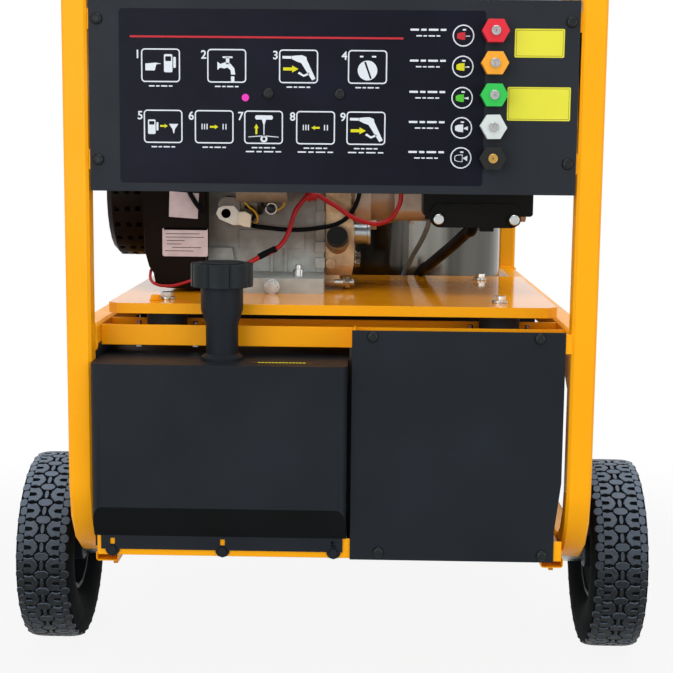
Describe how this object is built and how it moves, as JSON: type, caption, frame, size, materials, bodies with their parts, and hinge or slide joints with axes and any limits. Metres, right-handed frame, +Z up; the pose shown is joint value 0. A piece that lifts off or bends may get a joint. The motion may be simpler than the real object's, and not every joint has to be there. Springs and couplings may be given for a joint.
{
  "type": "hot-water pressure washer",
  "caption": "Engine-driven hot-water pressure washer in a bent-tube frame with front wheels, swivel casters, fuel tank, upright boiler, pump and a control panel that holds spray nozzles.",
  "frame": {"origin": "middle of the footprint on the ground", "axes": "+X to the right seen from the panel side, +Y from the panel towards the boiler, +Z up"},
  "size_m": [0.852, 0.9772, 1],
  "materials": {
    "frame_paint": "glossy orange-yellow powder coat",
    "black_paint": "satin blue-black powder coat",
    "tyre_rubber": "matt black tread and walls",
    "caster_rubber": "smooth grey-black tread",
    "mount_rubber": "matt black buffer with a zinc foot",
    "hose_rubber": "smooth black",
    "grey_hose": "smooth grey",
    "red_cable": "smooth red insulation",
    "casting": "as-cast, silver-painted",
    "pump_head_paint": "black painted casting",
    "zinc_steel": "bright zinc plate",
    "stainless": "polished stainless sheet",
    "brass": "machined brass",
    "black_plastic": "moulded black plastic",
    "nozzle_red": "moulded red plastic",
    "nozzle_yellow": "moulded yellow plastic",
    "nozzle_green": "moulded green plastic",
    "nozzle_white": "moulded white plastic",
    "nozzle_black": "moulded black plastic"
  },
  "bodies": {
    "machine": {"side_frame_left": "frame_paint", "side_frame_right": "frame_paint", "push_bar": "frame_paint", "deck_rail_left": "frame_paint", "deck_rail_right": "frame_paint", "front_cross_rail": "frame_paint", "rear_cross_rail": "frame_paint", "rear_brace": "frame_paint", "base_cross_front": "frame_paint", "base_cross_mid": "frame_paint", "base_cross_rear": "frame_paint", "front_sill": "frame_paint", "engine_plate": "frame_paint", "battery_box": "frame_paint", "fuel_tank": "black_paint", "cover_plate": "black_paint", "control_panel": "black_paint", "engine_fuel_tank": "black_paint", "starter_motor": "black_paint", "blower_housing": "black_paint", "burner": "black_paint", "engine_mount_front_left": "mount_rubber", "engine_mount_front_right": "mount_rubber", "engine_mount_rear_left": "mount_rubber", "engine_mount_rear_right": "mount_rubber", "pump_hose": "hose_rubber", "black_cable": "hose_rubber", "fuel_hose": "grey_hose", "red_cable": "red_cable", "crankcase": "casting", "crankcase_cover": "casting", "cylinder": "casting", "pump_body": "casting", "pump_head": "pump_head_paint", "axle": "zinc_steel", "muffler": "zinc_steel", "boiler_shell": "stainless", "boiler_cowl": "stainless", "unloader_valve": "brass", "recoil_cover": "black_plastic", "air_filter": "black_plastic", "battery": "black_plastic"},
    "wheel_left": {"tyre_left": "tyre_rubber", "rim_left": "black_paint"},
    "wheel_right": {"tyre_right": "tyre_rubber", "rim_right": "black_paint"},
    "caster_left": {"caster_fork_left": "zinc_steel"},
    "caster_right": {"caster_fork_right": "zinc_steel"},
    "caster_left_roller": {"caster_wheel_left": "caster_rubber"},
    "caster_right_roller": {"caster_wheel_right": "caster_rubber"},
    "tank_cap": {"filler_cap": "black_plastic"},
    "engine_tank_cap": {"engine_fuel_cap": "black_plastic"},
    "oil_cap": {"oil_filler_cap": "black_plastic"},
    "starter_handle": {"recoil_handle": "black_plastic"},
    "pressure_knob": {"unloader_knob": "black_plastic"},
    "spray_nozzle_red": {"nozzle_red": "nozzle_red"},
    "spray_nozzle_yellow": {"nozzle_yellow": "nozzle_yellow"},
    "spray_nozzle_green": {"nozzle_green": "nozzle_green"},
    "spray_nozzle_white": {"nozzle_white": "nozzle_white"},
    "spray_nozzle_black": {"nozzle_black": "nozzle_black"}
  },
  "joints": [
    {"name": "wheel_left_spin", "type": "hinge", "parent": "machine", "child": "wheel_left", "pos_m": [-0.383, -0.22435, 0.13], "axis": [1, 0, 0], "continuous": true},
    {"name": "caster_left_swivel", "type": "hinge", "parent": "machine", "child": "caster_left", "pos_m": [-0.245, 0.35365, 0.16], "axis": [0, 0, 1], "continuous": true},
    {"name": "caster_left_spin", "type": "hinge", "parent": "caster_left", "child": "caster_left_roller", "pos_m": [-0.245, 0.38965, 0.0625], "axis": [1, 0, 0], "continuous": true},
    {"name": "wheel_right_spin", "type": "hinge", "parent": "machine", "child": "wheel_right", "pos_m": [0.383, -0.22435, 0.13], "axis": [1, 0, 0], "continuous": true},
    {"name": "caster_right_swivel", "type": "hinge", "parent": "machine", "child": "caster_right", "pos_m": [0.245, 0.35365, 0.16], "axis": [0, 0, 1], "continuous": true},
    {"name": "caster_right_spin", "type": "hinge", "parent": "caster_right", "child": "caster_right_roller", "pos_m": [0.245, 0.38965, 0.0625], "axis": [1, 0, 0], "continuous": true},
    {"name": "tank_cap_turn", "type": "hinge", "parent": "machine", "child": "tank_cap", "pos_m": [-0.134, -0.43635, 0.52], "axis": [0, 0, 1], "range_deg": [0, 90]},
    {"name": "engine_tank_cap_turn", "type": "hinge", "parent": "machine", "child": "engine_tank_cap", "pos_m": [-0.097, -0.13435, 0.936], "axis": [0, 0, 1], "range_deg": [0, 90]},
    {"name": "oil_cap_turn", "type": "hinge", "parent": "machine", "child": "oil_cap", "pos_m": [0.002, -0.20935, 0.557], "axis": [0, -0.9063, 0.4226], "range_deg": [0, 270]},
    {"name": "starter_handle_pull", "type": "slide", "parent": "machine", "child": "starter_handle", "axis": [0, 0, 1], "range_m": [0, 0.2]},
    {"name": "pressure_knob_turn", "type": "hinge", "parent": "machine", "child": "pressure_knob", "pos_m": [0.227, -0.23635, 0.735], "axis": [0, 0, 1], "range_deg": [0, 270]},
    {"name": "nozzle_red_pull", "type": "slide", "parent": "machine", "child": "spray_nozzle_red", "axis": [0, -1, 0], "range_m": [0, 0.03]},
    {"name": "nozzle_yellow_pull", "type": "slide", "parent": "machine", "child": "spray_nozzle_yellow", "axis": [0, -1, 0], "range_m": [0, 0.03]},
    {"name": "nozzle_green_pull", "type": "slide", "parent": "machine", "child": "spray_nozzle_green", "axis": [0, -1, 0], "range_m": [0, 0.03]},
    {"name": "nozzle_white_pull", "type": "slide", "parent": "machine", "child": "spray_nozzle_white", "axis": [0, -1, 0], "range_m": [0, 0.03]},
    {"name": "nozzle_black_pull", "type": "slide", "parent": "machine", "child": "spray_nozzle_black", "axis": [0, -1, 0], "range_m": [0, 0.03]}
  ]
}
